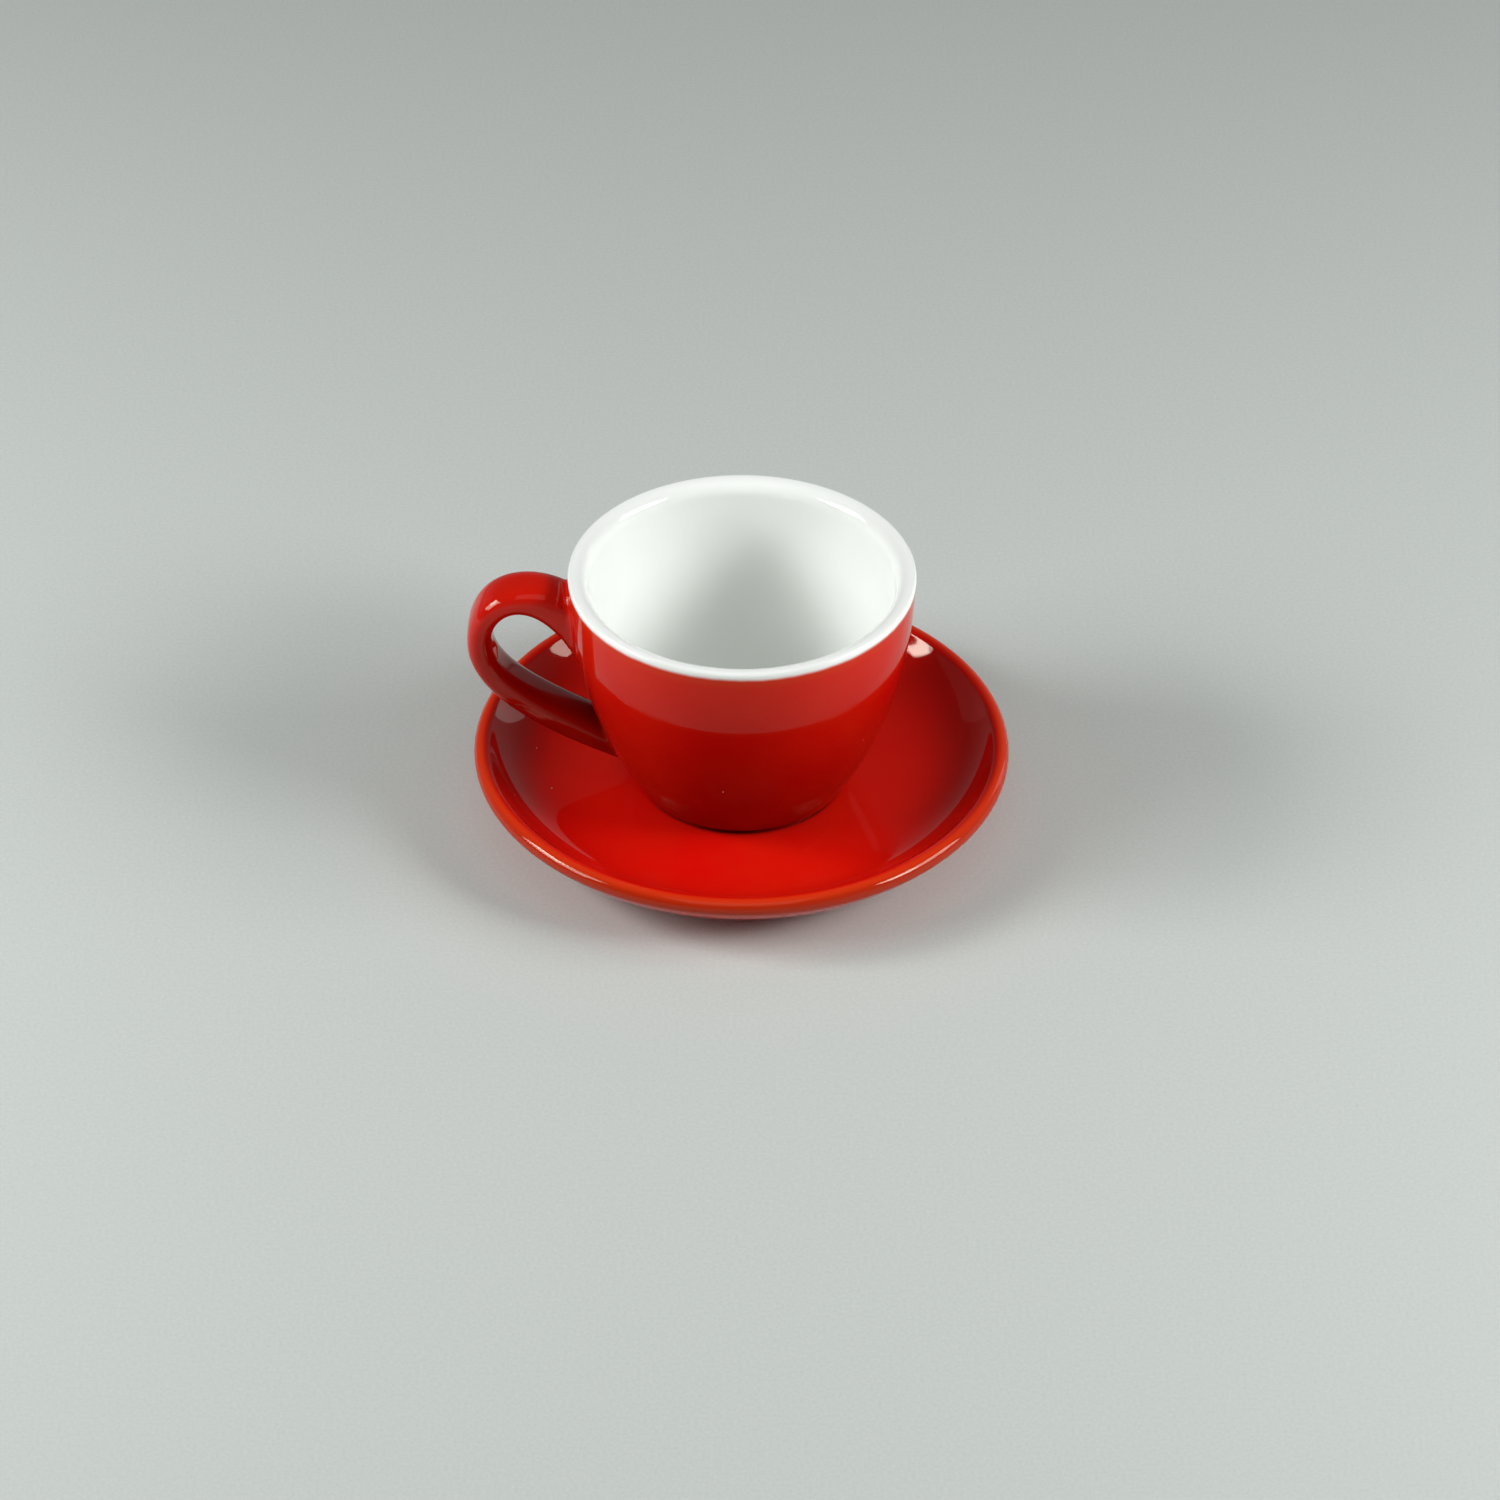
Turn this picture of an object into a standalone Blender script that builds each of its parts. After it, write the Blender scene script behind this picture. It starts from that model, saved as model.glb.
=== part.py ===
"""A two-colour coffee cup on its saucer, in glazed stoneware.

Lengths are in metres and +Z is up. The saucer stands on z = 0 with its centre on the Z axis, and the
cup's handle points along -X. The cup is modelled from its own foot upwards and hangs on an empty that
marks where it rests in the saucer and the line along which it lifts off.
"""

import math

import bmesh
import bpy
from mathutils import Vector
from mathutils.geometry import interpolate_bezier

OBJECT_NAME = "coffee_cup_with_saucer"

# Saucer
SAUCER_RADIUS = 0.0700
SAUCER_HEIGHT = 0.0182
RIM_ROUNDING = 0.0024
RIM_SLOPE = math.radians(51)
SAUCER_BASE_THICKNESS = 0.0042
SAUCER_FOOT_RADIUS = 0.0380
SAUCER_FOOT_WIDTH = 0.0040
SAUCER_FOOT_HEIGHT = 0.0032
SAUCER_FOOT_ROUNDING = 0.0006

# Seat for the cup, sunk in the middle of the saucer
SEAT_DEPTH = 0.0005
SEAT_MARGIN = 0.0012
SEAT_LEDGE = 0.0015
SEAT_ROUNDING = 0.0003

# Cup
CUP_HEIGHT = 0.0644
LIP_RADIUS = 0.04475
BASE_RADIUS = 0.0273
WALL_LEAN = 0.0026
BELLY_POWER = 2.5
WALL_THICKNESS = 0.0050
FLOOR_THICKNESS = 0.0050
INSIDE_ROUNDING = 0.0120
LIP_ROUNDING = 0.0010
LIP_INSIDE_ROUNDING = 0.0038
BASE_ROUNDING = 0.0020
CUP_FOOT_RADIUS = 0.0250
CUP_FOOT_WIDTH = 0.0035
CUP_FOOT_HEIGHT = 0.0008
CUP_FOOT_ROUNDING = 0.0003
CUP_FOOT_HOLLOW = 0.0007

# Red glaze on the outside of the cup
GLAZE_THICKNESS = 0.0004
GLAZE_DROP = 0.0002

# Handle: reach is measured from the lip's radius, drop from the lip and rise from the cup's foot
HANDLE_WIDTH = 0.0135
HANDLE_ROOT_FLARE = 0.0020
HANDLE_SINK = 0.0020
HANDLE_FLARE_POWER = 4
OUTER_EDGE_ROUNDNESS = 2.6
INNER_EDGE_ROUNDNESS = 3.0

OUTER_REACH = 0.02625
OUTER_REACH_DROP = 0.0213
OUTER_ROOT_DROP = 0.0073
OUTER_ROOT_PULL = (0.00265, 0.0010)
OUTER_PULL_UP = 0.0231
OUTER_PULL_DOWN = 0.0119
OUTER_FOOT_PULL = (0.01255, 0.0173)
OUTER_FOOT_RISE = 0.0067

INNER_REACH = 0.01965
INNER_REACH_DROP = 0.0195
INNER_ROOT_DROP = 0.0344
INNER_ROOT_PULL = (0.00835, -0.0009)
INNER_PULL_UP = 0.0078
INNER_PULL_DOWN = 0.0120
INNER_FOOT_PULL = (0.00595, 0.0264)
INNER_FOOT_RISE = 0.0162

# Room between pieces that touch
FIT_GAP = 0.0003

# Fineness of the meshes
SAUCER_STEPS = 56
CUP_STEPS = 44
DISH_POINTS = 14
RIM_POINTS = 8
WALL_POINTS = 8
SAUCER_ARC_STEPS = 2
CUP_ARC_STEPS = 4
HANDLE_STATIONS = 15
HANDLE_SIDES = 20

# Heights and radii that follow from the sizes
SAUCER_FLOOR = SAUCER_FOOT_HEIGHT + SAUCER_BASE_THICKNESS
SEAT_HEIGHT = SAUCER_FLOOR - SEAT_DEPTH
SEAT_RADIUS = CUP_FOOT_RADIUS + SEAT_MARGIN
CUP_REST_HEIGHT = SEAT_HEIGHT + FIT_GAP
BODY_INSET = GLAZE_THICKNESS + FIT_GAP
GLAZE_LINE = CUP_HEIGHT - LIP_ROUNDING - GLAZE_DROP
INSIDE_FLOOR = CUP_FOOT_HEIGHT + CUP_FOOT_HOLLOW + FLOOR_THICKNESS

RED_GLAZE = (0.55, 0.012, 0.006, 1.0)
WHITE_GLAZE = (0.86, 0.87, 0.85, 1.0)
GLAZE_ROUGHNESS = 0.15


def clear_scene():
    for obj in list(bpy.data.objects):
        bpy.data.objects.remove(obj, do_unlink=True)


def new_collection(name):
    collection = bpy.data.collections.new(name)
    bpy.context.scene.collection.children.link(collection)
    return collection


def glaze(obj, colour):
    """Give a piece its own glossy glaze."""
    material = bpy.data.materials.new(obj.name + "_glaze")
    material.use_nodes = True
    shader = material.node_tree.nodes["Principled BSDF"]
    shader.inputs["Base Color"].default_value = colour
    shader.inputs["Roughness"].default_value = GLAZE_ROUGHNESS
    material.diffuse_color = colour
    obj.data.materials.append(material)


def rounded(corners, arc_steps):
    """The outline through corners of (radius, height, rounding), each rounded corner made an arc."""
    outline = []
    for index, (r, z, rounding) in enumerate(corners):
        corner = Vector((r, z))
        if not rounding:
            outline.append(corner)
            continue
        before = (Vector(corners[index - 1][:2]) - corner).normalized()
        after = (Vector(corners[(index + 1) % len(corners)][:2]) - corner).normalized()
        half = before.angle(after) / 2
        centre = corner + (before + after).normalized() * rounding / math.sin(half)
        start = corner + before * rounding / math.tan(half) - centre
        end = corner + after * rounding / math.tan(half) - centre
        for step in range(arc_steps + 1):
            outline.append(centre + rounding * start.slerp(end, step / arc_steps))
    return outline


def turned(name, outline, steps, collection, closed=False):
    """A turned piece: the outline swept round Z by a Screw modifier."""
    mesh = bpy.data.meshes.new(name)
    vertices = [(point.x, 0.0, point.y) for point in outline]
    edges = [(index, index + 1) for index in range(len(outline) - 1)]
    if closed:
        edges.append((len(outline) - 1, 0))
    mesh.from_pydata(vertices, edges, [])
    obj = bpy.data.objects.new(name, mesh)
    collection.objects.link(obj)
    screw = obj.modifiers.new("Turn", "SCREW")
    screw.axis = "Z"
    screw.angle = math.tau
    screw.steps = steps
    screw.render_steps = steps
    screw.use_merge_vertices = True
    screw.merge_threshold = 0.00001
    return obj


def cut(obj, cutter):
    boolean = obj.modifiers.new("Cut by " + cutter.name, "BOOLEAN")
    boolean.operation = "DIFFERENCE"
    boolean.object = cutter
    cutter.hide_render = True
    cutter.display_type = "WIRE"


def rising_curve(start, end, end_slope, count):
    """Points from a level start up to an end that has the given slope, without the two ends."""
    run = end.x - start.x
    rise = end.y - start.y
    power = math.tan(end_slope) * run / rise
    shares = [step / count for step in range(1, count)]
    return [Vector((start.x + run * share, start.y + rise * share**power)) for share in shares]


def saucer_outline():
    rim_centre = Vector((SAUCER_RADIUS - RIM_ROUNDING, SAUCER_HEIGHT - RIM_ROUNDING))
    rim = []
    for step in range(RIM_POINTS + 1):
        angle = math.pi / 2 + RIM_SLOPE - math.pi * step / RIM_POINTS
        rim.append(rim_centre + RIM_ROUNDING * Vector((math.cos(angle), math.sin(angle))))
    seat = rounded(
        [
            (0.0, SEAT_HEIGHT, 0.0),
            (SEAT_RADIUS, SEAT_HEIGHT, SEAT_ROUNDING),
            (SEAT_RADIUS + SEAT_DEPTH, SAUCER_FLOOR, SEAT_ROUNDING),
            (SEAT_RADIUS + SEAT_LEDGE, SAUCER_FLOOR, 0.0),
        ],
        SAUCER_ARC_STEPS,
    )
    foot_inside = SAUCER_FOOT_RADIUS - SAUCER_FOOT_WIDTH
    foot = rounded(
        [
            (SAUCER_FOOT_RADIUS, SAUCER_FOOT_HEIGHT, 0.0),
            (SAUCER_FOOT_RADIUS, 0.0, SAUCER_FOOT_ROUNDING),
            (foot_inside, 0.0, SAUCER_FOOT_ROUNDING),
            (foot_inside, SAUCER_FOOT_HEIGHT, 0.0),
            (0.0, SAUCER_FOOT_HEIGHT, 0.0),
        ],
        SAUCER_ARC_STEPS,
    )
    dish = rising_curve(seat[-1], rim[0], RIM_SLOPE, DISH_POINTS)
    underside = rising_curve(foot[0], rim[-1], RIM_SLOPE, DISH_POINTS)
    return seat + dish + rim + underside[::-1] + foot


def wall_share(height):
    return (CUP_HEIGHT - height) / (CUP_HEIGHT - CUP_FOOT_HEIGHT)


def wall_radius(height):
    """Radius of the cup's outside: nearly upright below the lip, then drawn in faster to the base."""
    share = wall_share(height)
    belly = LIP_RADIUS - WALL_LEAN - BASE_RADIUS
    return LIP_RADIUS - WALL_LEAN * share - belly * share**BELLY_POWER


def wall_slope(height):
    share = wall_share(height)
    belly = LIP_RADIUS - WALL_LEAN - BASE_RADIUS
    per_share = WALL_LEAN + belly * BELLY_POWER * share ** (BELLY_POWER - 1)
    return per_share / (CUP_HEIGHT - CUP_FOOT_HEIGHT)


def outside_corners(inset, top):
    """The outside of the cup from a height down to its rounded base, moved in along its normals."""
    corners = []
    base = CUP_FOOT_HEIGHT + inset
    for step in range(WALL_POINTS + 1):
        height = top + (base - top) * step / WALL_POINTS
        radius = wall_radius(height) - inset * math.hypot(1.0, wall_slope(height))
        rounding = BASE_ROUNDING - inset if step == WALL_POINTS else 0.0
        corners.append((radius, height, rounding))
    return corners


def inside_corners():
    """The inside of the cup from the middle of its floor up to the lip."""
    corners = [(0.0, INSIDE_FLOOR, 0.0)]
    first_wall_height = INSIDE_FLOOR + INSIDE_ROUNDING
    top = CUP_HEIGHT - LIP_INSIDE_ROUNDING - LIP_ROUNDING
    corners.append((wall_radius(INSIDE_FLOOR) - WALL_THICKNESS, INSIDE_FLOOR, INSIDE_ROUNDING))
    for step in range(WALL_POINTS - 1):
        height = first_wall_height + (top - first_wall_height) * step / (WALL_POINTS - 2)
        corners.append((wall_radius(height) - WALL_THICKNESS, height, 0.0))
    corners.append((LIP_RADIUS - WALL_THICKNESS, CUP_HEIGHT, LIP_INSIDE_ROUNDING))
    return corners


def cup_body_outline():
    foot_inside = CUP_FOOT_RADIUS - CUP_FOOT_WIDTH
    foot_hollow = CUP_FOOT_HEIGHT + CUP_FOOT_HOLLOW
    corners = inside_corners()
    corners.append((LIP_RADIUS, CUP_HEIGHT, LIP_ROUNDING))
    corners.append((wall_radius(GLAZE_LINE), GLAZE_LINE, 0.0))
    corners += outside_corners(BODY_INSET, GLAZE_LINE)
    corners += [
        (CUP_FOOT_RADIUS, CUP_FOOT_HEIGHT + BODY_INSET, 0.0),
        (CUP_FOOT_RADIUS, 0.0, CUP_FOOT_ROUNDING),
        (foot_inside, 0.0, CUP_FOOT_ROUNDING),
        (foot_inside, foot_hollow, 0.0),
        (0.0, foot_hollow, 0.0),
    ]
    return rounded(corners, CUP_ARC_STEPS)


def cup_glaze_outline():
    top = GLAZE_LINE - FIT_GAP
    end_radius = CUP_FOOT_RADIUS + FIT_GAP
    outside = outside_corners(0.0, top)
    outside.append((end_radius, CUP_FOOT_HEIGHT, 0.0))
    inside = outside_corners(GLAZE_THICKNESS, top)
    inside.append((end_radius, CUP_FOOT_HEIGHT + GLAZE_THICKNESS, 0.0))
    return rounded(outside, CUP_ARC_STEPS) + rounded(inside, CUP_ARC_STEPS)[::-1]


def wall_cutter_outline():
    """The whole space inside the red glaze's inner face, closed above the lip."""
    above = CUP_HEIGHT + WALL_THICKNESS
    corners = [(0.0, above, 0.0), (LIP_RADIUS - GLAZE_THICKNESS, above, 0.0)]
    corners += outside_corners(GLAZE_THICKNESS, CUP_HEIGHT)
    corners.append((0.0, CUP_FOOT_HEIGHT + GLAZE_THICKNESS, 0.0))
    return rounded(corners, CUP_ARC_STEPS)


def handle_edge(root_drop, root_pull, reach, reach_drop, pull_up, pull_down, foot_pull, foot_rise):
    """One edge of the handle in its own plane, as (distance from the cup's axis, height) points."""
    root_height = CUP_HEIGHT - root_drop
    root = Vector((wall_radius(root_height) - HANDLE_SINK, root_height))
    root_handle = Vector((LIP_RADIUS + root_pull[0], CUP_HEIGHT - root_pull[1]))
    far = Vector((LIP_RADIUS + reach, CUP_HEIGHT - reach_drop))
    foot = Vector((wall_radius(foot_rise) - HANDLE_SINK, foot_rise))
    foot_handle = Vector((LIP_RADIUS + foot_pull[0], foot_pull[1]))
    above = far + Vector((0.0, pull_up))
    below = far - Vector((0.0, pull_down))
    upper = interpolate_bezier(root, root_handle, above, far, HANDLE_STATIONS)
    lower = interpolate_bezier(far, below, foot_handle, foot, HANDLE_STATIONS)
    return upper + lower[1:]


def handle_mesh(name, collection, grown=0.0):
    """A strap between two edges: rounder on its outer side, flatter where the finger goes."""
    outer = handle_edge(
        OUTER_ROOT_DROP,
        OUTER_ROOT_PULL,
        OUTER_REACH,
        OUTER_REACH_DROP,
        OUTER_PULL_UP,
        OUTER_PULL_DOWN,
        OUTER_FOOT_PULL,
        OUTER_FOOT_RISE,
    )
    inner = handle_edge(
        INNER_ROOT_DROP,
        INNER_ROOT_PULL,
        INNER_REACH,
        INNER_REACH_DROP,
        INNER_PULL_UP,
        INNER_PULL_DOWN,
        INNER_FOOT_PULL,
        INNER_FOOT_RISE,
    )
    shape = bmesh.new()
    rings = []
    for index, (far_side, near_side) in enumerate(zip(outer, inner)):
        middle = (far_side + near_side) / 2
        half = (far_side - near_side) / 2
        half += half.normalized() * grown
        from_middle = abs(2 * index / (len(outer) - 1) - 1)
        half_width = HANDLE_WIDTH / 2 + grown + HANDLE_ROOT_FLARE / 2 * from_middle**HANDLE_FLARE_POWER
        ring = []
        for side in range(HANDLE_SIDES):
            angle = math.tau * side / HANDLE_SIDES
            roundness = OUTER_EDGE_ROUNDNESS if math.sin(angle) > 0 else INNER_EDGE_ROUNDNESS
            across = math.copysign(abs(math.cos(angle)) ** (2 / roundness), math.cos(angle))
            along = math.copysign(abs(math.sin(angle)) ** (2 / roundness), math.sin(angle))
            point = middle + half * along
            ring.append(shape.verts.new((-point.x, half_width * across, point.y)))
        rings.append(ring)
    for first, second in zip(rings, rings[1:]):
        for side in range(HANDLE_SIDES):
            following = (side + 1) % HANDLE_SIDES
            shape.faces.new((first[side], first[following], second[following], second[side]))
    shape.faces.new(rings[0])
    shape.faces.new(rings[-1])
    bmesh.ops.recalc_face_normals(shape, faces=shape.faces)
    mesh = bpy.data.meshes.new(name)
    shape.to_mesh(mesh)
    shape.free()
    mesh.shade_smooth()
    obj = bpy.data.objects.new(name, mesh)
    collection.objects.link(obj)
    return obj


def main():
    clear_scene()
    parts = new_collection(OBJECT_NAME)
    cutters = new_collection("cutters")

    saucer = turned("saucer", saucer_outline(), SAUCER_STEPS, parts)
    body = turned("cup_body", cup_body_outline(), CUP_STEPS, parts)
    coat = turned("cup_red_glaze", cup_glaze_outline(), CUP_STEPS, parts, closed=True)
    handle = handle_mesh("cup_handle", parts)
    wall_cutter = turned("wall_cutter", wall_cutter_outline(), CUP_STEPS, cutters)
    handle_cutter = handle_mesh("handle_cutter", cutters, grown=FIT_GAP)

    cut(handle, wall_cutter)
    cut(coat, handle_cutter)

    cup_rest = bpy.data.objects.new("cup_rest", None)
    cup_rest.location.z = CUP_REST_HEIGHT
    parts.objects.link(cup_rest)
    for piece in (body, coat, handle, wall_cutter, handle_cutter):
        piece.parent = cup_rest

    glaze(body, WHITE_GLAZE)
    for piece in (saucer, coat, handle):
        glaze(piece, RED_GLAZE)


main()
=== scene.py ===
"""A two-colour coffee cup on its saucer, dressed in glossy glaze on a grey studio table.

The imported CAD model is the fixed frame. Lengths are in metres, +Z is up, the saucer stands on z = 0
with its centre on the Z axis, and the cup's handle points along -X. Each piece here stands for one CAD
node, has that node's size and place, and adds what fired clay and glaze show close up.
"""

import math

import bmesh
import bpy
from bpy.props import FloatProperty, FloatVectorProperty, PointerProperty
from mathutils import Matrix, Vector
from mathutils.geometry import interpolate_bezier


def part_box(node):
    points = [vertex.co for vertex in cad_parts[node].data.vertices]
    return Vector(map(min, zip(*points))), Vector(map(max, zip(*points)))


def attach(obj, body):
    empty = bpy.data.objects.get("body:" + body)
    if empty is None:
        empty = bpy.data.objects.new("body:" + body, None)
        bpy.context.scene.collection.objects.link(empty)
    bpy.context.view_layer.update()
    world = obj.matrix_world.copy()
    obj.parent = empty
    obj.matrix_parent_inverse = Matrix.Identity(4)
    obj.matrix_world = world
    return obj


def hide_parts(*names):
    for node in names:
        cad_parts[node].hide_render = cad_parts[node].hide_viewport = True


bl_info = {
    "name": "Coffee Cup with Saucer",
    "version": (1, 0, 0),
    "blender": (4, 5, 0),
    "location": "3D View > Sidebar > Coffee Cup",
    "description": "Builds a glazed coffee cup, its saucer and a studio table round the packed CAD frame",
    "category": "Object",
}

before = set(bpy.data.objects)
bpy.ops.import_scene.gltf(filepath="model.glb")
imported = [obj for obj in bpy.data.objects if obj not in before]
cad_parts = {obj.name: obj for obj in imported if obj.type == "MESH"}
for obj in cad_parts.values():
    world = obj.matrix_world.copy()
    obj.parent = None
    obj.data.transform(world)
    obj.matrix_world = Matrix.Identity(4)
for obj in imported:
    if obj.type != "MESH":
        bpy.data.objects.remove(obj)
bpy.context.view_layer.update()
saucer_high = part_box("saucer")[1]
cup_low, cup_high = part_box("cup_body")

# Fineness of the meshes, and the radius below which a point counts as on the axis
TURN_STEPS = 192
ARC_STEPS = 8
RIM_STEPS = 32
CURVE_STEPS = 48
HANDLE_STATIONS = 40
HANDLE_SIDES = 56
JOINT_STEPS = 10
ON_AXIS = 1e-6

# Small edges of the saucer's seat and foot ring, and of the cup's foot ring
SEAT_ROUNDING = 0.0003
SEAT_LEDGE = 0.0015
SAUCER_FOOT_ROUNDING = 0.0006
SAUCER_HOLLOW_ROUNDING = 0.0010
CUP_FOOT_ROUNDING = 0.0003
CUP_HOLLOW_ROUNDING = 0.0004

# The bowl lies this far inside the coat of red glaze, which dives under the white lip, is this thick and
# stops this far from the foot ring
BOWL_INSET = 0.00004
COAT_DIVE = 0.00006
COAT_THICKNESS = 0.00002
COAT_STOP = 0.0003

# How late the handle widens towards its roots
FLARE_POWER = 4

# The handle's joints run on along the wall just under its skin, then sink into it
JOINT_RUN = 0.0003
JOINT_SKIN = 0.00002
JOINT_SINK = 0.0003

# Sockets of a Mix node: its factor, two values and their blend, and two colours and their blend
MIX_FACTOR = 0
MIX_LOW, MIX_HIGH, MIX_VALUE = 2, 3, 0
MIX_A, MIX_B, MIX_COLOUR = 6, 7, 2

# A glassy glaze has an index of refraction of about 1.5, matched down to the object's weaker reflections
GLAZE_IOR = 1.40
COAT_IOR = 1.30

# Roughness of smooth glaze, from best to worst, and of bare fired clay
GLAZE_POLISH = (0.03, 0.06)
CLAY_ROUGHNESS = 0.8

# Real sizes of the patterns: patches from dipping, clouds in the white, ripples and runs in the melt, the
# room between pinholes, rings left by turning and grit in bare clay
DIP_PATCH = 0.018
CLOUD = 0.015
RIPPLE = 0.007
RUN = 0.006
PINHOLE_SPACING = 0.0045
TURNING_RING = 0.0012
CLAY_GRIT = 0.0006

# The table's real grain is too fine to show, so it is drawn this coarse, between these shares of its colour
TABLE_GRAIN = 0.0009
TABLE_SHADES = (0.90, 1.10)

# Noise values between which a pattern goes from none to full
MOTTLE_NOISE = (0.35, 0.75)
POLISH_NOISE = (0.3, 0.7)

# The most thin red that mottling adds, the ripples' height, and the turning rings' share of it
MOTTLE = 0.16
RIPPLE_HEIGHT = 0.000006
RING_SHARE = 0.2

# The share of spots without a pinhole, and the largest pinhole's radius as a share of the room between
NO_PINHOLE = 0.86
LARGEST_PINHOLE = 0.05

# The darkest shares of their colour in clouded white glaze and in bare clay
CLOUD_SHADE = 0.97
CLAY_SHADE = 0.8

# Painted shade: up to this share of its shade height, red on an upright wall goes from dark low down towards
# plain red, and above it to the upper red, which is partly a painted reflection. The handle's shade height is
# this many times the cup's.
SHADE_MIDDLE = 0.65
HANDLE_SHADE_HEIGHT = 1.25

# Lighter on the crest of the saucer's rim, a share of the rim's rounding in from its edge: thin glaze with a
# painted highlight. Darker in the corner of the seat, just in from its edge: painted shade under the cup's
# base. The distances where each is full and where it ends
CREST_INSET = 0.6
CREST_FULL, CREST_END = 0.0005, 0.0019
SEAT_SHADE_INSET = 0.0007
SEAT_SHADE_FULL, SEAT_SHADE_END = 0.0002, 0.0024

# Painted shade down the outside of the saucer's rim: where its darker red starts, as a share of the rim's
# rounding, and how much it shows
EDGE_SHADE_START = 0.7
EDGE_SHADE_SHARE = 0.8

# The coat's red ends this far below the lip, uneven by this much, and thins over this many times the
# height of its blush
COAT_END = 0.0008
COAT_UNEVEN = 0.0005
THIN_BLUSHES = 3

# On that stretch: the share where thin red is fullest, how full it is, and the share where the blush
# starts
THIN_PEAK = 0.68
THIN_FULL = 0.75
BLUSH_START = 0.66

# The table's half side, its finish, and the camera, which was fitted to the outlines of lip and saucer
TABLE_REACH = 3.0
TABLE_ROUGHNESS = 0.7
TABLE_SPECULAR = 0.2
CAMERA_SENSOR = 36.0
CAMERA_LENS = 132.0
CAMERA_PITCH = math.radians(37.106)
CAMERA_ROLL = math.radians(0.253)
CAMERA_AIM = Vector((0.002222, 0.0, 0.014389))
CAMERA_DISTANCE = 1.441781

# Soft lights round the table: a box with a brighter core on either side, a weak one above, and two pale
# cards behind. Each has a name, azimuth from the far side and elevation in degrees, distance, width and
# height in metres, and radiance, where 1 shows as white. All face a point at this height on the Z axis.
LIGHT_AIM_HEIGHT = 0.03
SOFTBOXES = (
    ("left_softbox", -101, 30, 1.0, 0.56, 0.43, 8.5),
    ("left_softbox_core", -92, 34, 0.98, 0.26, 0.20, 14.0),
    ("right_softbox", 101, 30, 1.0, 0.58, 0.38, 8.9),
    ("right_softbox_core", 113, 30, 0.98, 0.26, 0.20, 14.0),
    ("top_softbox", 180, 66, 1.4, 0.90, 0.90, 0.62),
    ("left_back_card", -66, 15, 1.5, 1.00, 0.62, 0.12),
    ("right_back_card", 51, 15, 1.5, 0.28, 0.70, 1.0),
)

# The room is palest low down, a little more on the right: the way up, then height and grey of two stops
ROOM_UP = (-0.26, 0.0, 0.966)
ROOM_LOW = (0.05, 0.28)
ROOM_HIGH = (0.50, 0.07)


def linear(hex_colour):
    """The linear RGB of an sRGB hex colour, as Blender's colour sockets take it."""
    channels = [int(hex_colour[i : i + 2], 16) / 255 for i in (0, 2, 4)]
    return [c / 12.92 if c <= 0.04045 else ((c + 0.055) / 1.055) ** 2.4 for c in channels]


def length(name, description, default):
    """A length in metres that a user can change."""
    return FloatProperty(
        name=name, description=description, default=default, min=0.0, unit="LENGTH", precision=5
    )


def offset(name, description, default):
    """A pair of distances in metres, in the handle's plane, that a user can change."""
    return FloatVectorProperty(
        name=name, description=description, default=default, size=2, unit="LENGTH", precision=5
    )


def colour(name, description, hex_colour):
    """A colour that a user can change."""
    return FloatVectorProperty(
        name=name, description=description, default=linear(hex_colour), min=0.0, max=1.0, subtype="COLOR"
    )


class SaucerSettings(bpy.types.PropertyGroup):
    """Sizes of the saucer"""

    radius: length("Radius", "Radius of the rim", saucer_high.x)
    height: length("Height", "Height of the rim above the table", saucer_high.z)
    rim_rounding: length("Rim Rounding", "Radius of the rolled rim", 0.0024)
    rim_slope: FloatProperty(
        name="Rim Slope",
        description="Slope of the dish where it meets the rim",
        default=math.radians(51),
        subtype="ANGLE",
    )
    foot_radius: length("Foot Radius", "Outer radius of the foot ring", 0.0380)
    foot_width: length("Foot Width", "Width of the foot ring", 0.0040)
    foot_height: length("Foot Height", "Height of the underside above the table", 0.0032)
    base_thickness: length("Base Thickness", "Thickness under the dish", 0.0042)
    seat_radius: length("Seat Radius", "Radius of the shallow seat for the cup", 0.0262)
    seat_depth: length("Seat Depth", "Depth of the seat for the cup", 0.0005)


class CupSettings(bpy.types.PropertyGroup):
    """Sizes of the bowl and its red coat"""

    rest_height: length("Rest Height", "Height of the cup's foot above the table", cup_low.z)
    height: length("Height", "Height of the cup from foot to lip", cup_high.z - cup_low.z)
    lip_radius: length("Lip Radius", "Outer radius at the lip", cup_high.x)
    base_radius: length("Base Radius", "Outer radius at the base, before its rounding", 0.0273)
    wall_lean: length("Wall Lean", "How far the upper wall leans in on its way down", 0.0026)
    belly_power: FloatProperty(
        name="Belly", description="How late and how fast the wall draws in to the base", default=2.5
    )
    wall_thickness: length("Wall Thickness", "Thickness of the wall", 0.0050)
    floor_thickness: length("Floor Thickness", "Thickness of the floor", 0.0050)
    inside_rounding: length("Inside Rounding", "Radius between the inside wall and the floor", 0.0120)
    lip_rounding: length("Lip Rounding", "Radius of the lip's outer edge", 0.0010)
    lip_inside_rounding: length("Lip Inside Rounding", "Radius of the lip's inner edge", 0.0038)
    base_rounding: length("Base Rounding", "Radius between the wall and the base", 0.0030)
    foot_radius: length("Foot Radius", "Outer radius of the foot ring", 0.0250)
    foot_width: length("Foot Width", "Width of the foot ring", 0.0035)
    foot_height: length("Foot Height", "Height of the base above the foot ring's face", 0.0010)
    foot_hollow: length("Foot Hollow", "Further height of the hollow inside the foot ring", 0.0005)


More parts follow.
